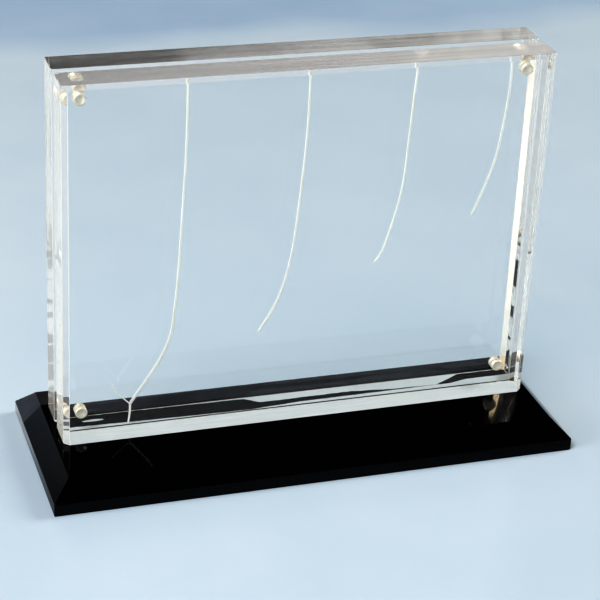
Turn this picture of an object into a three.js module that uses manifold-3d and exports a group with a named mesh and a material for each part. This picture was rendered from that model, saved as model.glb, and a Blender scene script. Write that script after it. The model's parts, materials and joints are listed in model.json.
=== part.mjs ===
// A photo stand made of two thick clear acrylic blocks on a black bevelled base. The rear block is
// bonded to the base. The front block stands loose in front of it, held by a disc magnet in each
// corner, and the print goes between the two. Millimetres, +X right, +Y back, +Z up. The origin is
// the middle of the base's underside.
import * as THREE from 'three';
import { mergeVertices } from 'three/addons/utils/BufferGeometryUtils.js';
import Module from 'manifold-3d';

const wasm = await Module();
wasm.setup();

// ---- Driving dimensions ----

// The print, lying on its side, and the clear border that the blocks leave around it.
const PRINT_WIDTH = 178;
const PRINT_HEIGHT = 127;
const SIDE_BORDER = 11;
const TOP_BORDER = 13;

// Each clear block, the chamfers on its upright edges and on its two long top edges, and the space
// between the blocks. The other edges are plain.
const BLOCK_DEPTH = 17.1;
const UPRIGHT_CHAMFER = 2.2;
const TOP_CHAMFER = 1.6;
const PRINT_GAP = 0.8;

// The base plate: how far it stands out beside the blocks, and its section.
const BASE_SIDE_LEDGE = 10.3;
const BASE_DEPTH = 84.2;
const BASE_HEIGHT = 12.8;
const BASE_BEVEL = 7.5;

// How far the blocks stand behind the middle of the base.
const BLOCK_SETBACK = 6.1;

// The disc magnets, and the distance from their centres to the block's edges.
const MAGNET_DIAMETER = 5;
const MAGNET_LENGTH = 3;
const MAGNET_CHAMFER = 0.3;
const MAGNET_INSET = 8.9;

// Clearance between pieces that touch on the real object.
const FIT_GAP = 0.3;

// ---- Sizes that follow from them ----

const BLOCK_WIDTH = PRINT_WIDTH + 2 * SIDE_BORDER;
const BLOCK_HEIGHT = PRINT_HEIGHT + 2 * TOP_BORDER;
const BASE_LENGTH = BLOCK_WIDTH + 2 * BASE_SIDE_LEDGE;
const BLOCK_BOTTOM = BASE_HEIGHT + FIT_GAP;
const MATING_Y = BLOCK_SETBACK;
const STRAND_THICKNESS = PRINT_GAP - 2 * FIT_GAP;
const ROUND_SEGMENTS = 40;

// ---- Materials ----

function clearAcrylic() {
  return new THREE.MeshStandardMaterial({
    color: 0xdfeaf0, roughness: 0.03, metalness: 0, transparent: true, opacity: 0.35,
  });
}

function blackAcrylic() {
  return new THREE.MeshStandardMaterial({ color: 0x08080a, roughness: 0.08, metalness: 0 });
}

function nickelPlate() {
  return new THREE.MeshStandardMaterial({ color: 0xd9ccb4, roughness: 0.25, metalness: 1 });
}

function paleStrand() {
  return new THREE.MeshStandardMaterial({ color: 0xf0ead8, roughness: 0.5, metalness: 0 });
}

// ---- Solids ----

// A closed three.js geometry as a solid that can be joined and cut.
function toSolid(geometry) {
  const bare = geometry.clone();
  bare.deleteAttribute('normal');
  bare.deleteAttribute('uv');
  const merged = mergeVertices(bare);
  return new wasm.Manifold(new wasm.Mesh({
    numProp: 3,
    vertProperties: new Float32Array(merged.attributes.position.array),
    triVerts: new Uint32Array(merged.index.array),
  }));
}

function toGeometry(solid) {
  const { vertProperties, triVerts } = solid.getMesh();
  const geometry = new THREE.BufferGeometry();
  geometry.setAttribute('position', new THREE.BufferAttribute(vertProperties, 3));
  geometry.setIndex(new THREE.BufferAttribute(triVerts, 1));
  return geometry;
}

// An outline of [x, y] points, extruded along +Z and centred on z = 0.
function extrudeOutline(outline, length) {
  const shape = new THREE.Shape(outline.map(([x, y]) => new THREE.Vector2(x, y)));
  const geometry = new THREE.ExtrudeGeometry(shape, { depth: length, bevelEnabled: false });
  return geometry.translate(0, 0, -length / 2);
}

// A clear block without its pockets, centred on the origin: its plan, with all four corners cut off
// at 45 degrees, and its end section, with the top two cut off, each extruded right through, and what
// the two have in common.
function bareBlock() {
  const x = BLOCK_WIDTH / 2;
  const y = BLOCK_DEPTH / 2;
  const z = BLOCK_HEIGHT / 2;
  const planOutline = [
    [UPRIGHT_CHAMFER - x, -y], [x - UPRIGHT_CHAMFER, -y], [x, UPRIGHT_CHAMFER - y],
    [x, y - UPRIGHT_CHAMFER], [x - UPRIGHT_CHAMFER, y], [UPRIGHT_CHAMFER - x, y],
    [-x, y - UPRIGHT_CHAMFER], [-x, UPRIGHT_CHAMFER - y],
  ];
  const endOutline = [
    [-y, -z], [y, -z], [y, z - TOP_CHAMFER], [y - TOP_CHAMFER, z],
    [TOP_CHAMFER - y, z], [-y, z - TOP_CHAMFER],
  ];
  const plan = extrudeOutline(planOutline, BLOCK_HEIGHT);
  const end = extrudeOutline(endOutline, BLOCK_WIDTH).rotateX(Math.PI / 2).rotateZ(Math.PI / 2);
  return toSolid(plan).intersect(toSolid(end));
}

// The base stands on its full footprint, rises in a short upright wall and then slopes in.
function basePlinth() {
  const wall = BASE_HEIGHT - BASE_BEVEL;
  const section = (width) => [
    [-width / 2, 0], [width / 2, 0], [width / 2, wall],
    [width / 2 - BASE_BEVEL, BASE_HEIGHT], [BASE_BEVEL - width / 2, BASE_HEIGHT], [-width / 2, wall],
  ];
  const front = extrudeOutline(section(BASE_LENGTH), BASE_DEPTH).rotateX(Math.PI / 2);
  const end = extrudeOutline(section(BASE_DEPTH), BASE_LENGTH).rotateX(Math.PI / 2).rotateZ(Math.PI / 2);
  return toGeometry(toSolid(front).intersect(toSolid(end)));
}

// ---- Where the magnets are ----

// The four corners, in a block's own frame: x from its middle, z from its middle.
const CORNERS = [
  ['top_left', -1, 1], ['top_right', 1, 1], ['bottom_left', -1, -1], ['bottom_right', 1, -1],
].map(([name, sideX, sideZ]) => ({
  name,
  x: sideX * (BLOCK_WIDTH / 2 - MAGNET_INSET),
  z: sideZ * (BLOCK_HEIGHT / 2 - MAGNET_INSET),
}));

// A clear block in its own frame, with a blind pocket for each magnet in its inner face. facing is
// -1 where the inner face looks forwards and +1 where it looks back.
function clearBlock(facing) {
  let block = bareBlock();
  const pocketDepth = MAGNET_LENGTH + FIT_GAP;
  const overshoot = 1;
  for (const corner of CORNERS) {
    const radius = MAGNET_DIAMETER / 2 + FIT_GAP;
    const pocket = new THREE.CylinderGeometry(radius, radius, pocketDepth + overshoot, ROUND_SEGMENTS);
    const middleY = facing * (BLOCK_DEPTH / 2 + (overshoot - pocketDepth) / 2);
    block = block.subtract(toSolid(pocket.translate(corner.x, middleY, corner.z)));
  }
  return toGeometry(block);
}

// A disc magnet with chamfered rims, along Y and centred on the origin.
function discMagnet() {
  const r = MAGNET_DIAMETER / 2;
  const y = MAGNET_LENGTH / 2;
  const profile = [
    [0, -y], [r - MAGNET_CHAMFER, -y], [r, MAGNET_CHAMFER - y],
    [r, y - MAGNET_CHAMFER], [r - MAGNET_CHAMFER, y], [0, y],
  ];
  return new THREE.LatheGeometry(profile.map(([x, h]) => new THREE.Vector2(x, h)), ROUND_SEGMENTS);
}

// ---- The fine strands between the blocks ----

// Each strand hangs from just under the blocks' top edge and bends to the left as it comes down.
// Its line is a smooth curve through a few [x, z] points, x from the blocks' middle and z above
// their underside, with its width at its first and its last point.
const STRAND_TOP = BLOCK_HEIGHT - 3;
const STRANDS = [
  {
    line: [[-48.9, STRAND_TOP], [-48.9, 124], [-49.9, 94.5], [-52, 55], [-56, 33], [-70.6, 9.5]],
    widths: [0.9, 1.2],
  },
  {
    line: [[0.2, STRAND_TOP], [0.1, 124.4], [-1.7, 94.5], [-4.3, 69], [-9.1, 50.6], [-16.6, 36.7]],
    widths: [0.9, 1.1],
  },
  {
    line: [[44.8, STRAND_TOP], [43.4, 123], [41.7, 95], [36, 71], [32.1, 63.2]],
    widths: [0.9, 0.9],
  },
  {
    line: [[84.8, STRAND_TOP], [85.1, 135], [82.8, 111.5], [79.9, 98.5], [73.6, 80.6]],
    widths: [0.9, 0.9],
  },
];

// The first strand forks at its lower end: a stem down to the blocks' underside and a short twig.
const STRAND_STEM = { line: [[-70.5, 10], [-70.6, 5.5], [-71.2, 1]], widths: [1, 0.7] };
const STRAND_TWIG = { line: [[-70.5, 9.5], [-74.4, 13.7], [-78.1, 19.5]], widths: [0.6, 0.3] };

function strandSolid({ line, widths }) {
  const curve = new THREE.SplineCurve(line.map(([x, z]) => new THREE.Vector2(x, z)));
  const steps = 6 * (line.length - 1);
  const left = [];
  const right = [];
  for (let i = 0; i <= steps; i += 1) {
    const t = i / steps;
    const half = THREE.MathUtils.lerp(widths[0], widths[1], t) / 2;
    const point = curve.getPoint(t);
    const along = curve.getTangent(t);
    left.push([point.x - along.y * half, point.y + along.x * half]);
    right.unshift([point.x + along.y * half, point.y - along.x * half]);
  }
  return toSolid(extrudeOutline([...left, ...right], STRAND_THICKNESS).rotateX(Math.PI / 2));
}

function strandGeometry(index) {
  const strand = strandSolid(STRANDS[index]);
  if (index > 0) return toGeometry(strand);
  return toGeometry(strand.add(strandSolid(STRAND_STEM)).add(strandSolid(STRAND_TWIG)));
}

// ---- The stand ----

function piece(name, geometry, material, x, y, z) {
  const mesh = new THREE.Mesh(geometry, material);
  mesh.name = name;
  mesh.position.set(x, y, z);
  return mesh;
}

const stand = new THREE.Group();
stand.add(piece('base_plinth', basePlinth(), blackAcrylic(), 0, 0, 0));

// The rear block faces forwards, and the front block faces back.
for (const [name, facing] of [['rear', -1], ['front', 1]]) {
  const block = new THREE.Group();
  const middleY = MATING_Y - facing * (PRINT_GAP + BLOCK_DEPTH) / 2;
  block.position.set(0, middleY, BLOCK_BOTTOM + BLOCK_HEIGHT / 2);
  block.add(piece(`${name}_block`, clearBlock(facing), clearAcrylic(), 0, 0, 0));
  const magnetY = facing * (BLOCK_DEPTH - MAGNET_LENGTH) / 2;
  for (const corner of CORNERS) {
    const magnetName = `${name}_magnet_${corner.name}`;
    block.add(piece(magnetName, discMagnet(), nickelPlate(), corner.x, magnetY, corner.z));
  }
  stand.add(block);
}

STRANDS.forEach((_, index) => {
  const strandName = `display_strand_${index + 1}`;
  stand.add(piece(strandName, strandGeometry(index), paleStrand(), 0, MATING_Y, BLOCK_BOTTOM));
});

export default stand;
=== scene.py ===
"""The looks of a clear acrylic block photo stand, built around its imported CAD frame.

Two polished clear blocks stand on a black gloss base, with nickel-plated magnets in their corners
and four fine pale strands between them. Everything is in metres, in the frame's own axes.
"""

import json
import math

import bmesh
import bpy
from mathutils import Matrix, Vector


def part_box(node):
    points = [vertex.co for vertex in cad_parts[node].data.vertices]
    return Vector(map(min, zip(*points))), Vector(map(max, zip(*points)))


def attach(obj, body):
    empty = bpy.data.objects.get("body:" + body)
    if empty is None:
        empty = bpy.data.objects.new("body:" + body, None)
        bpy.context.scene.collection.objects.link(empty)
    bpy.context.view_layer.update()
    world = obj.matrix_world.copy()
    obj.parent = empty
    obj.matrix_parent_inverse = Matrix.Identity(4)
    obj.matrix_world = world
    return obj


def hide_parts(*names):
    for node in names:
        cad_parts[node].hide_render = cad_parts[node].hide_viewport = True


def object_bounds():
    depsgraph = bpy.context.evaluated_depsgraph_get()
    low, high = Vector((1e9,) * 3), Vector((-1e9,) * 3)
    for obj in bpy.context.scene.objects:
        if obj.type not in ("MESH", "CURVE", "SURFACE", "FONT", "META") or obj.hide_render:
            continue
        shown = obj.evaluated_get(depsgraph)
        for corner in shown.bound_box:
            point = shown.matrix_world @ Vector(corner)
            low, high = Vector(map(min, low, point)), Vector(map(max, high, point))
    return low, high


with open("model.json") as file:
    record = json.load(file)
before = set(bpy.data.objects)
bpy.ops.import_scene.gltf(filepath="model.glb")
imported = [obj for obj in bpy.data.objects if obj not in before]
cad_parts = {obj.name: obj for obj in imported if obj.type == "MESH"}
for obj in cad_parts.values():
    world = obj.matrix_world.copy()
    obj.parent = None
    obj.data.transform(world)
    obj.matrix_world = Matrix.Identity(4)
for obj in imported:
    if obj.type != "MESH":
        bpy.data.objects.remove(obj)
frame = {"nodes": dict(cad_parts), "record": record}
cad_low, cad_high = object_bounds()
MM = 0.001


# ---- Sizes read from the frame ----

base_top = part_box("base_plinth")[1].z
rear_low, rear_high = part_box("rear_block")
centre = (cad_low + cad_high) / 2
block_width = rear_high.x - rear_low.x
block_depth = rear_high.y - rear_low.y
block_top = rear_high.z

# Points of a mesh that are closer together than this are one.
WELD = 0.002 * MM


# ---- Camera ----

def aim(obj, direction, roll=0.0):
    """Turns a camera or lamp to look along direction, rolled about it."""
    turn = direction.to_track_quat("-Z", "Y").to_matrix().to_4x4()
    obj.matrix_world = Matrix.Translation(obj.location) @ turn @ Matrix.Rotation(roll, 4, "Z")


def make_camera():
    """The photo's view: from the left and above, through a long lens, with the horizon tilted."""
    yaw = math.radians(19.035)
    pitch = math.radians(26.784)
    roll = math.radians(3.0)
    distance = 0.795
    aimed_at = centre + Vector((-4.2, -14.2, -13.4)) * MM
    level = Vector((math.sin(yaw), math.cos(yaw), 0.0))
    direction = level * math.cos(pitch) - Vector((0.0, 0.0, math.sin(pitch)))
    data = bpy.data.cameras.new("photo_camera")
    data.sensor_width = 36.0
    data.lens = 118.75
    data.clip_end = 50.0
    camera = bpy.data.objects.new("photo_camera", data)
    bpy.context.scene.collection.objects.link(camera)
    camera.location = aimed_at - direction * distance
    aim(camera, direction, roll)
    bpy.context.scene.camera = camera


make_camera()


# ---- Node helpers ----

class Nodes:
    """A small helper for writing node trees in code."""

    # The mix node has a set of sockets for each kind of value. These are its factor and its colours.
    MIX_COLOUR_INPUTS = (0, 6, 7)
    MIX_COLOUR_OUTPUT = 2

    def __init__(self, tree):
        self.tree = tree

    def add(self, kind, **inputs):
        """A node with its inputs set by name, with _ for each space."""
        node = self.tree.nodes.new(kind)
        for name, value in inputs.items():
            self.set(node, name, value)
        return node

    def set(self, node, name, value):
        """Sets an input, by its name or number, to a value or links it to another node's output."""
        socket = node.inputs[name if isinstance(name, int) else name.replace("_", " ")]
        if isinstance(value, bpy.types.NodeSocket):
            self.tree.links.new(value, socket)
        else:
            socket.default_value = value

    def maths(self, operation, *values):
        node = self.tree.nodes.new("ShaderNodeMath")
        node.operation = operation
        for i, value in enumerate(values):
            self.set(node, i, value)
        return node.outputs[0]

    def place(self, stretch=(1, 1, 1)):
        """Object coordinates, stretched."""
        coordinate = self.add("ShaderNodeTexCoord")
        mapping = self.add("ShaderNodeMapping", Vector=coordinate.outputs["Object"], Scale=stretch)
        return mapping.outputs[0]

    def axes(self):
        """Object coordinates as three separate numbers."""
        return self.add("ShaderNodeSeparateXYZ", Vector=self.place()).outputs

    def noise(self, scale, detail=2.0, roughness=0.5, stretch=(1, 1, 1), distortion=0.0):
        """Noise in object coordinates, from 0 to 1 and mostly near 0.5."""
        node = self.add(
            "ShaderNodeTexNoise", Vector=self.place(stretch), Scale=scale, Detail=detail,
            Roughness=roughness, Distortion=distortion,
        )
        return node.outputs["Fac"]

    def between(self, value, low, high, to_low=0.0, to_high=1.0):
        """Value run through a straight ramp, which is level past low and high."""
        node = self.tree.nodes.new("ShaderNodeMapRange")
        for i, v in enumerate((value, low, high, to_low, to_high)):
            self.set(node, i, v)
        return node.outputs[0]

    def curve(self, value, points):
        """Value, from 0 to 1, run through straight lines between points, also from 0 to 1."""
        node = self.tree.nodes.new("ShaderNodeFloatCurve")
        line = node.mapping.curves[0]
        for _ in points[2:]:
            line.points.new(0.5, 0.5)
        for point, place in zip(line.points, points):
            point.location = place
            point.handle_type = "VECTOR"
        node.mapping.update()
        self.set(node, "Value", value)
        return node.outputs[0]

    def mix(self, factor, first, second):
        """A colour from first to second."""
        node = self.tree.nodes.new("ShaderNodeMix")
        node.data_type = "RGBA"
        for number, value in zip(self.MIX_COLOUR_INPUTS, (factor, first, second)):
            self.set(node, number, value)
        return node.outputs[self.MIX_COLOUR_OUTPUT]

    def bump(self, height, strength, distance):
        node = self.add("ShaderNodeBump", Height=height, Strength=strength, Distance=distance)
        return node.outputs[0]


def new_material(name):
    """An empty material, and the helper that fills it."""
    material = bpy.data.materials.new(name)
    material.use_nodes = True
    material.node_tree.nodes.clear()
    return material, Nodes(material.node_tree)


def show(nodes, shader):
    """Makes the shader the material's surface."""
    nodes.add("ShaderNodeOutputMaterial", Surface=shader)


# ---- Materials ----

ACRYLIC_IOR = 1.49


def hairlines(n, scale, stretch, width):
    """Fine scratches: 1 on a scratch, 0 elsewhere."""
    lines = n.noise(scale, detail=1.0, stretch=stretch, distortion=0.4)
    return n.between(n.maths("ABSOLUTE", n.maths("SUBTRACT", lines, 0.5)), 0.0, width, 1.0, 0.0)


def clear_acrylic(name, tint, relief, haze=None):
    """Clear acrylic with faint smudges. relief gives its surface relief, and haze, where it has
    any, how much of it is a dull bloom of the colour tint. Light on its way to a dull surface goes
    straight through, so that what is inside and behind the blocks is lit."""
    material, n = new_material(name)
    smudges = n.between(n.noise(35.0, detail=4.0), 0.45, 0.75)
    clearness = n.maths("SUBTRACT", 1.0, haze(n)) if haze else 1.0
    glass = n.add(
        "ShaderNodeBsdfPrincipled", IOR=ACRYLIC_IOR, Base_Color=tint, Transmission_Weight=clearness
    )
    n.set(glass, "Roughness", n.maths("MULTIPLY", smudges, 0.012))
    n.set(glass, "Normal", relief(n))
    ray = n.add("ShaderNodeLightPath")
    through = n.maths("MAXIMUM", ray.outputs["Is Shadow Ray"], ray.outputs["Is Diffuse Ray"])
    clear = n.add("ShaderNodeBsdfTransparent", Color=(0.95, 0.965, 0.97, 1.0))
    either = n.add("ShaderNodeMixShader")
    for number, value in enumerate((through, glass.outputs[0], clear.outputs[0])):
        n.set(either, number, value)
    show(n, either.outputs[0])
    return material


def polished(n):
    """The relief of a polished face: a few hairline scratches."""
    return n.bump(hairlines(n, 14.0, (1.0, 1.0, 5.0), 0.0035), 0.04, 0.02 * MM)


def flamed(n):
    """The relief of a narrow face that was polished with a flame: slightly wavy."""
    return n.bump(n.noise(90.0, detail=1.0, stretch=(1.0, 1.0, 0.2)), 0.1, 0.02 * MM)


def scraped(n):
    """The relief of a top face scraped smooth along its length, which smears what is seen through
    it across the sheet."""
    return n.bump(n.noise(2200.0, stretch=(0.02, 1.0, 1.0)), 1.0, 0.05 * MM)


# The tints of the clear faces.
CLEAR = (0.988, 0.993, 0.993, 1.0)
CREAMY = (1.0, 0.93, 0.84, 1.0)
GREYISH = (0.93, 0.88, 0.84, 1.0)


def streaked(n, amount, scale, stretch):
    """Amount, a fifth more or less in streaks."""
    streaks = n.between(n.noise(scale, detail=3.0, stretch=stretch), 0.3, 0.7, 0.8, 1.2)
    return n.maths("MULTIPLY", amount, streaks)


def across(n, left, right):
    """A number that goes from left to right along the block's width."""
    x, _, _ = n.axes()
    return n.between(x, -block_width / 2, block_width / 2, left, right)


def end_haze(n):
    """The bloom of the end faces: the left ones were polished less well."""
    return streaked(n, across(n, 0.36, 0.0), 120.0, (1.0, 1.0, 0.08))


def chamfer_haze(n):
    """The bloom of the chamfers, which are duller at the left."""
    return streaked(n, across(n, 0.15, 0.02), 160.0, (1.0, 1.0, 0.05))


def edge_haze(n):
    """The scraped edges between the faces, which catch the light, less so round the top."""
    _, _, z = n.axes()
    amount = n.between(z, block_top - 3.0 * MM, block_top - 2.8 * MM, 0.5, 0.08)
    return streaked(n, amount, 200.0, (1.0, 1.0, 0.05))


def top_haze_and_painted_light(n):
    """The bloom on the top faces, which grows towards the right. That growth is painted light: it
    makes the right of the top paler, standing in for the light that falls there from the right and
    behind.
    """
    return streaked(n, across(n, 0.13, 0.46), 400.0, (0.03, 1.0, 1.0))


def sawn_colour_and_painted_sheen(n):
    """The whitish bloom of a sawn acrylic edge, with fine saw marks along it. The bloom is thin, so
    that the black base shows through it where it is looked at face on. Its paleness at a grazing
    angle is also a painted sheen, which stands in for the light from behind that the underside
    reflects."""
    marks = n.noise(900.0, detail=3.0, stretch=(0.05, 1.0, 1.0))
    bloom = n.noise(45.0, detail=4.0)
    pale = n.mix(n.between(bloom, 0.3, 0.7), (0.56, 0.615, 0.645, 1.0), (0.61, 0.665, 0.69, 1.0))
    lined = n.mix(n.between(marks, 0.5, 0.75), pale, (0.68, 0.72, 0.74, 1.0))
    # Painted sheen: the colour turns paler at a grazing angle, standing in for light from behind
    # reflected off the underside.
    painted_sheen_slant = n.add("ShaderNodeLayerWeight", Blend=0.5).outputs["Facing"]
    return n.mix(n.between(painted_sheen_slant, 0.2, 0.6), (0.31, 0.305, 0.31, 1.0), lined)


def sawn_acrylic(name):
    """A block's sawn underside, dry against the base."""
    material, n = new_material(name)
    dull = n.add("ShaderNodeBsdfPrincipled", IOR=ACRYLIC_IOR, Roughness=0.7)
    n.set(dull, "Base Color", sawn_colour_and_painted_sheen(n))
    n.set(dull, "Normal", n.bump(n.noise(900.0, stretch=(0.05, 1.0, 1.0)), 0.3, 0.05 * MM))
    show(n, dull.outputs[0])
    return material


# Where the solvent didn't run under the rear block: how far the dry strip reaches in from the
# block's front edge, and from its back edge, at places along its width, and the middle and reach of
# a dry spot, from the middle of its width and from its front edge. All in millimetres.
DRY_FRONT = [(-100, 4.6), (-40, 1.3), (-18, 0.8), (4, 3.7), (72, 5.0), (80, 8.2), (100, 8.6)]
DRY_BACK = [
    (-100, 0.1), (-64, 0.3), (-19, 1.4), (-13, 8.5), (27, 7.6), (45, 11.0), (66, 12.0), (78, 0.6),
    (100, 0.4),
]
DRY_SPOT = (-84.5, 10.3)
DRY_SPOT_REACH = (4.5, 1.4)


def bonded_acrylic(name):
    """The rear block's underside: black where the solvent has run and joined it to the base, and
    pale and sawn where it stayed dry, with ragged edges between."""
    material, n = new_material(name)
    x, y, _ = n.axes()
    along = n.between(x, -block_width / 2, block_width / 2)
    ragged = n.maths("SUBTRACT", n.noise(300.0, detail=6.0, roughness=0.75), 0.5)
    depth = n.maths("SUBTRACT", y, rear_low.y)
    front = n.maths("ADD", depth, n.maths("MULTIPLY", ragged, 1.6 * MM))
    from_back = n.maths("SUBTRACT", block_depth, depth)
    back = n.maths("SUBTRACT", from_back, n.maths("MULTIPLY", ragged, 2.6 * MM))

    def reach(strip):
        """How far a dry strip reaches at a place along the width."""
        line = [(place * MM / block_width + 0.5, width * MM / block_depth) for place, width in strip]
        return n.maths("MULTIPLY", n.curve(along, line), block_depth)

    dry_front = n.maths("LESS_THAN", front, reach(DRY_FRONT))
    dry_back = n.maths("LESS_THAN", back, reach(DRY_BACK))
    squares = []
    for place, middle, spread in zip((x, front), DRY_SPOT, DRY_SPOT_REACH):
        offset = n.maths("DIVIDE", n.maths("SUBTRACT", place, middle * MM), spread * MM)
        squares.append(n.maths("MULTIPLY", offset, offset))
    dry_spot = n.maths("LESS_THAN", n.maths("ADD", *squares), 1.0)
    dry = n.maths("MAXIMUM", n.maths("MAXIMUM", dry_front, dry_back), dry_spot)
    dull = n.add(
        "ShaderNodeBsdfPrincipled", IOR=ACRYLIC_IOR, Specular_IOR_Level=0.0, Roughness=0.8
    )
    # The dry parts take the sawn colour, with its painted sheen at a grazing angle.
    n.set(dull, "Base Color", n.mix(dry, (0.0015, 0.0015, 0.002, 1.0), sawn_colour_and_painted_sheen(n)))
    show(n, dull.outputs[0])
    return material


def black_acrylic(name):
    """Gloss black acrylic sheet, with faint wiping marks and a few specks of dust, and a lighter,
    mottled top behind the blocks."""
    material, n = new_material(name)
    smudges = n.between(n.noise(28.0, detail=5.0, stretch=(1.0, 2.2, 1.0)), 0.42, 0.7)
    scratches = hairlines(n, 18.0, (1.0, 4.0, 1.0), 0.004)
    specks = n.between(n.noise(2600.0, detail=0.0), 0.8, 0.84)
    _, y, _ = n.axes()
    # The top is made lighter behind the blocks, in a mottle.
    behind_mottle = n.between(n.noise(90.0, detail=4.0), 0.3, 0.7, 0.6, 1.2)
    behind = n.between(y, rear_high.y - 1.0 * MM, rear_high.y)
    dust = n.maths("MAXIMUM", specks, n.maths("MULTIPLY", behind, behind_mottle))
    black = (0.0012, 0.0012, 0.0016, 1.0)
    gloss = n.add("ShaderNodeBsdfPrincipled", IOR=ACRYLIC_IOR, Specular_IOR_Level=0.24)
    n.set(gloss, "Base Color", n.mix(dust, black, (0.045, 0.045, 0.05, 1.0)))
    n.set(gloss, "Roughness", n.between(smudges, 0.0, 1.0, 0.03, 0.09))
    n.set(gloss, "Normal", n.bump(scratches, 0.05, 0.02 * MM))
    show(n, gloss.outputs[0])
    return material


def nickel_plate(name):
    """Bright nickel with a painted warm cast, which stands in for the warm light that it reflects,
    and the soft orange peel of a barrel-plated disc.
    """
    material, n = new_material(name)
    peel = n.noise(900.0, detail=3.0)
    wear = n.between(n.noise(420.0, detail=4.0), 0.4, 0.68)
    metal = n.add("ShaderNodeBsdfPrincipled", Metallic=0.6)
    # Painted light: both colours are warmer than nickel, standing in for the warm light that the
    # metal reflects.
    n.set(metal, "Base Color", n.mix(wear, (0.98, 0.92, 0.8, 1.0), (0.86, 0.76, 0.58, 1.0)))
    n.set(metal, "Roughness", n.between(wear, 0.0, 1.0, 0.36, 0.5))
    n.set(metal, "Normal", n.bump(peel, 0.12, 0.05 * MM))
    show(n, metal.outputs[0])
    return material


def pale_strand(name):
    """A pale straw-coloured fibre with fine streaks along it."""
    material, n = new_material(name)
    streaks = n.noise(1500.0, detail=3.0, stretch=(1.0, 1.0, 0.06))
    tone = n.between(n.noise(60.0), 0.35, 0.65)
    warm = n.mix(tone, (0.97, 0.96, 0.92, 1.0), (0.96, 0.93, 0.82, 1.0))
    fibre = n.add("ShaderNodeBsdfPrincipled", IOR=1.5)
    n.set(fibre, "Base Color", n.mix(n.between(streaks, 0.45, 0.8), warm, (0.86, 0.81, 0.68, 1.0)))
    n.set(fibre, "Roughness", n.between(streaks, 0.2, 0.8, 0.35, 0.6))
    n.set(fibre, "Normal", n.bump(streaks, 0.3, 0.05 * MM))
    show(n, fibre.outputs[0])
    return material


def floor_surface(name):
    """Plain pale blue card with a soft mottle and a slight sheen, and painted shade far behind,
    where it turns darker and bluer.
    """
    material, n = new_material(name)
    _, y, _ = n.axes()
    near = n.mix(
        n.between(n.noise(14.0, detail=5.0), 0.3, 0.7),
        (0.59, 0.705, 0.815, 1.0), (0.625, 0.735, 0.84, 1.0),
    )
    # Painted shade: the floor far behind is darker and bluer, standing in for the shade that it lies
    # in.
    far = n.mix(
        n.between(n.noise(9.0, detail=5.0), 0.3, 0.7),
        (0.42, 0.555, 0.73, 1.0), (0.49, 0.62, 0.78, 1.0),
    )
    wavy = n.maths("ADD", y, n.maths("MULTIPLY", n.noise(5.0, detail=3.0), 0.12))
    card = n.add("ShaderNodeBsdfPrincipled", Roughness=0.25, Specular_IOR_Level=0.5)
    n.set(card, "Base Color", n.mix(n.between(wavy, 0.53, 0.57), near, far))
    n.set(card, "Normal", n.bump(n.noise(700.0), 0.1, 0.2 * MM))
    show(n, card.outputs[0])
    return material


# ---- Mesh helpers ----

def link(name, data):
    """A new object in the scene."""
    obj = bpy.data.objects.new(name, data)
    bpy.context.scene.collection.objects.link(obj)
    return obj


def flatten(bm, turn):
    """Joins the triangles of each flat face. turn is how many degrees still count as flat."""
    bmesh.ops.dissolve_limit(bm, angle_limit=math.radians(turn), verts=bm.verts, edges=bm.edges)


def finish_mesh(bm, name, *materials):
    """A new object of the mesh, with its materials."""
    mesh = bpy.data.meshes.new(name)
    bm.to_mesh(mesh)
    bm.free()
    for material in materials:
        mesh.materials.append(material)
    return link(name, mesh)


def soften_edges(obj, width, keep_sharp=None, angle=20.0, finish=-1):
    """Small round edges where faces meet at more than angle degrees. The flat faces stay flat. Edges
    lying wholly at or below the height keep_sharp stay sharp. finish is the number of the round
    edges' own material, if they have one."""
    bm = bmesh.new()
    bm.from_mesh(obj.data)
    weight = bm.edges.layers.float.new("bevel_weight_edge")
    for edge in bm.edges:
        sharp = keep_sharp is not None and max(v.co.z for v in edge.verts) <= keep_sharp
        turn = edge.calc_face_angle(0.0)
        edge[weight] = 1.0 if turn > math.radians(angle) and not sharp else 0.0
    bm.to_mesh(obj.data)
    bm.free()
    bevel = obj.modifiers.new("soft_edges", "BEVEL")
    bevel.width = width
    bevel.segments = 3
    bevel.limit_method = "WEIGHT"
    bevel.harden_normals = True
    bevel.material = finish
    for polygon in obj.data.polygons:
        polygon.use_smooth = True


def settle(obj, node, body):
    """The piece stands for its CAD node and moves with its body."""
    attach(obj, body)
    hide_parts(node)


# ---- Pieces ----

def make_base(material):
    """The CAD plate with its flat faces whole again and its edges softened."""
    bm = bmesh.new()
    bm.from_mesh(frame["nodes"]["base_plinth"].data)
    bmesh.ops.remove_doubles(bm, verts=bm.verts, dist=WELD)
    flatten(bm, 0.5)
    base = finish_mesh(bm, "base_plinth_polished", material)
    soften_edges(base, 0.35 * MM)
    settle(base, "base_plinth", "stand")


# A block's materials, by number: its front and back, its two ends, its chamfers, its top, the narrow
# edges between them and its underside.
BROAD_FACE, END, CHAMFER, TOP, EDGE, UNDERSIDE = range(6)


def which_finish(normal):
    """The material of a block's flat face, by the way that the face looks."""
    if abs(normal.y) > 0.9:
        return BROAD_FACE
    if abs(normal.x) > 0.9:
        return END
    if normal.z > 0.9:
        return TOP
    return UNDERSIDE if normal.z < -0.9 else CHAMFER


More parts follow.
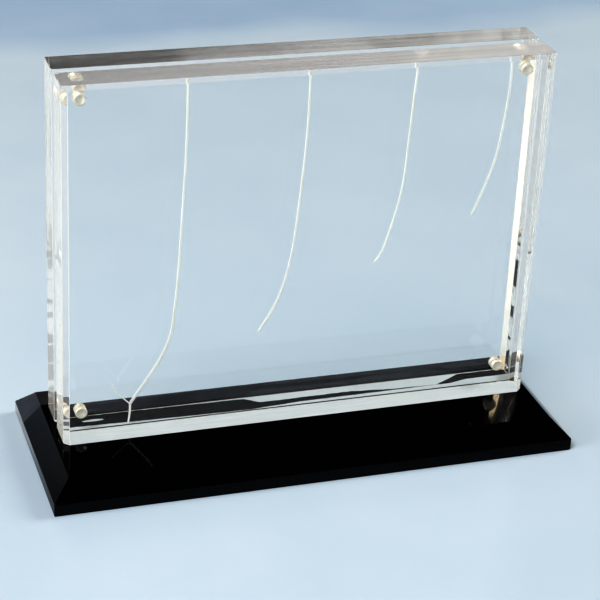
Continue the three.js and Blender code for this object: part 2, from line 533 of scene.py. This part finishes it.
def make_block(node, body, finishes, underside):
    """The CAD block without its magnet pockets, because the magnets are pressed in tight, and down
    to the base. Its underside is sawn, not polished."""
    low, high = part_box(node)
    pockets_start = 6.0 * MM
    bm = bmesh.new()
    for vert in frame["nodes"][node].data.vertices:
        from_side = min(vert.co.x - low.x, high.x - vert.co.x)
        from_end = min(vert.co.z - low.z, high.z - vert.co.z)
        if min(from_side, from_end) < pockets_start:
            bm.verts.new(vert.co)
    bmesh.ops.remove_doubles(bm, verts=bm.verts, dist=WELD)
    bmesh.ops.convex_hull(bm, input=bm.verts)
    flatten(bm, 0.5)
    bottom = base_top + 0.02 * MM
    for vert in bm.verts:
        if vert.co.z < low.z + 0.01 * MM:
            vert.co.z = bottom
    bmesh.ops.recalc_face_normals(bm, faces=bm.faces)
    for face in bm.faces:
        face.material_index = which_finish(face.normal)
    block = finish_mesh(bm, node + "_polished", *finishes, underside)
    soften_edges(block, 0.15 * MM, keep_sharp=bottom, finish=EDGE)
    settle(block, node, body)


def make_magnet(node, body, material):
    """A disc along Y with a rounded rim and a shallow round dip in each end. It is a hair shorter
    than the CAD's, so that its end lies just inside the block's face."""
    low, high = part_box(node)
    middle = (low + high) / 2
    radius = (high.x - low.x) / 2
    half = (high.y - low.y) / 2 - 0.03 * MM
    rim = radius * 0.16
    ring = radius * 0.62
    dip = 0.06 * MM
    end_profile = [(0.0, half - dip), (ring - dip, half - dip), (ring, half)]
    steps = 5
    for i in range(steps + 1):
        turn = i / steps * math.pi / 2
        end_profile.append((radius - rim + rim * math.sin(turn), half - rim + rim * math.cos(turn)))
    outline = [Vector((r, -y, 0)) for r, y in end_profile]
    outline += [Vector((r, y, 0)) for r, y in reversed(end_profile)]
    bm = bmesh.new()
    verts = [bm.verts.new(point) for point in outline]
    edges = [bm.edges.new(pair) for pair in zip(verts, verts[1:])]
    bmesh.ops.spin(
        bm, geom=verts + edges, angle=2 * math.pi, steps=72, axis=(0, 1, 0), cent=(0, 0, 0)
    )
    bmesh.ops.remove_doubles(bm, verts=bm.verts, dist=0.001 * MM)
    bmesh.ops.recalc_face_normals(bm, faces=bm.faces)
    bmesh.ops.translate(bm, verts=bm.verts, vec=middle)
    magnet = finish_mesh(bm, node + "_plated", material)
    for polygon in magnet.data.polygons:
        polygon.use_smooth = True
    settle(magnet, node, body)


def make_strand(node, material):
    """The CAD strip, thickened and rounded to a flattened fibre."""
    low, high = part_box(node)
    middle_y = (low.y + high.y) / 2
    fibre_depth = 0.5 * MM
    fuller = fibre_depth / (high.y - low.y)
    bm = bmesh.new()
    bm.from_mesh(frame["nodes"][node].data)
    bmesh.ops.remove_doubles(bm, verts=bm.verts, dist=WELD)
    for vert in bm.verts:
        vert.co.y = middle_y + (vert.co.y - middle_y) * fuller
    flatten(bm, 0.2)
    strand = finish_mesh(bm, node + "_fibre", material)
    soften_edges(strand, 0.16 * MM, angle=50.0)
    settle(strand, node, "stand")


def make_pieces():
    """Every piece, each made round its CAD node."""
    make_base(black_acrylic("black_acrylic"))
    finishes = [
        clear_acrylic("polished_acrylic", CLEAR, polished),
        clear_acrylic("end_acrylic", CREAMY, flamed, end_haze),
        clear_acrylic("chamfer_acrylic", GREYISH, flamed, chamfer_haze),
        # The top's bloom grows towards the right, which is painted light.
        clear_acrylic("top_acrylic", CLEAR, scraped, top_haze_and_painted_light),
        clear_acrylic("edge_acrylic", CREAMY, flamed, edge_haze),
    ]
    make_block("rear_block", "stand", finishes, bonded_acrylic("bonded_acrylic"))
    make_block("front_block", "front_panel", finishes, sawn_acrylic("sawn_acrylic"))
    nickel = nickel_plate("nickel_plate")
    fibre = pale_strand("pale_strand")
    for row in frame["record"]["subparts"]:
        node = row["node"]
        if "magnet" in node:
            make_magnet(node, "front_panel" if node.startswith("front") else "stand", nickel)
        if "strand" in node:
            make_strand(node, fibre)


make_pieces()


# ---- Floor, lamps and surroundings ----

def make_floor():
    """A plain level floor, well past the view."""
    bm = bmesh.new()
    bmesh.ops.create_grid(bm, x_segments=1, y_segments=1, size=4.0)
    floor = finish_mesh(bm, "studio_floor", floor_surface("pale_blue_paper"))


def make_lamp(name, place, size, power, colour=(1.0, 1.0, 1.0), gleams=True):
    """A rectangular soft box that faces the stand. One without gleams lights dull surfaces, but
    isn't reflected by glossy ones."""
    data = bpy.data.lights.new(name, "AREA")
    data.shape = "RECTANGLE"
    data.size, data.size_y = size
    data.energy = power
    data.color = colour
    lamp = link(name, data)
    lamp.location = place
    lamp.visible_glossy = gleams
    aim(lamp, centre - Vector(place))


def make_world():
    """Dim surroundings, with a grey glow low on the left and a pale backdrop along the horizon,
    which only the lowest views show."""
    world = bpy.data.worlds.new("studio")
    world.use_nodes = True
    bpy.context.scene.world = world
    n = Nodes(world.node_tree)
    world.node_tree.nodes.clear()
    coordinate = n.add("ShaderNodeTexCoord")
    x, y, z = n.add("ShaderNodeSeparateXYZ", Vector=coordinate.outputs["Generated"]).outputs
    glow = n.maths("MULTIPLY", n.between(x, -0.15, -0.5), n.between(z, 0.7, 0.2))
    dim = n.mix(glow, (0.006, 0.007, 0.009, 1.0), (0.42, 0.42, 0.43, 1.0))
    colour = n.mix(n.between(z, 0.3, 0.12), dim, (0.30, 0.355, 0.42, 1.0))
    sky = n.add("ShaderNodeBackground", Color=colour, Strength=1.0)
    n.add("ShaderNodeOutputWorld", Surface=sky.outputs[0])


make_floor()
make_world()
make_lamp("key_softbox", (-2.2, -1.9, 3.4), (2.0, 2.0), 100.0)
make_lamp("left_fill", (-2.1, -0.45, 0.75), (1.2, 0.9), 15.0, (1.0, 0.96, 0.9), gleams=False)
make_lamp("right_fill", (2.2, 0.3, 1.5), (1.2, 0.9), 26.0, (1.0, 0.92, 0.8), gleams=False)
make_lamp("back_warm", (-0.12, 2.35, 0.95), (0.4, 0.4), 3.2, (1.0, 0.82, 0.55))

# The blocks bend and reflect light inside many times over, so it needs many bounces.
cycles = bpy.context.scene.cycles
cycles.max_bounces = 48
cycles.transmission_bounces = 48
cycles.glossy_bounces = 24
cycles.transparent_max_bounces = 24
cycles.caustics_refractive = False
cycles.caustics_reflective = False
bpy.context.scene.view_settings.view_transform = "Standard"
bpy.context.scene.view_settings.look = "Very High Contrast"
